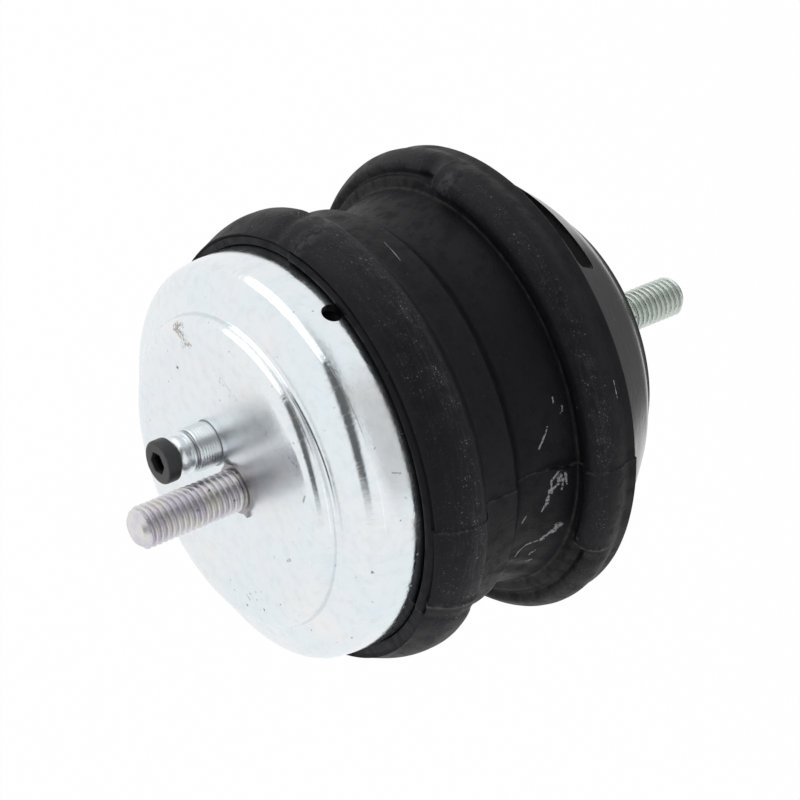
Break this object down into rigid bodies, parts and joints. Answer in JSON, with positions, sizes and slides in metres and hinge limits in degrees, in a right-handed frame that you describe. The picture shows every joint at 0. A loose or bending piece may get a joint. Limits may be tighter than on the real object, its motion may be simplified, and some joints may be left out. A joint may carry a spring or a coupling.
{
  "type": "hydraulic engine mount",
  "caption": "Round hydraulic engine mount: plated can, two-ring rubber body, black pressed cup, a stud out of each end and an air port.",
  "frame": {"origin": "centre of the lower cup's flat seat, on the lower stud's axis", "axes": "+Z along the axis from the lower cup to the plated can; +X from the upper stud towards the air port; the upper stud stands off the axis towards -X and -Y"},
  "size_m": [0.1128, 0.114, 0.162],
  "materials": {
    "zinc_plate": "satin zinc plating",
    "sheet_steel": "plain",
    "black_paint": "gloss",
    "cast_aluminium": "as cast",
    "rubber": "matt",
    "black_plastic": "moulded",
    "fluid": "liquid"
  },
  "bodies": {
    "root": {"upper_can": "zinc_plate", "upper_stud": "zinc_plate", "port_stub": "zinc_plate", "port_ring": "black_plastic", "air_bell": "sheet_steel", "diaphragm": "rubber", "track_plate_upper": "cast_aluminium", "track_plate_lower": "cast_aluminium", "decoupler": "rubber", "seal_ring": "rubber", "support_ring": "sheet_steel", "rubber_body": "rubber", "fluid_filling": "fluid", "stop_buffer": "rubber", "stop_post": "sheet_steel", "post_rivet": "sheet_steel", "fill_plug": "sheet_steel", "base_plate": "sheet_steel", "lower_cup": "black_paint", "lower_stud": "zinc_plate"}
  },
  "joints": []
}
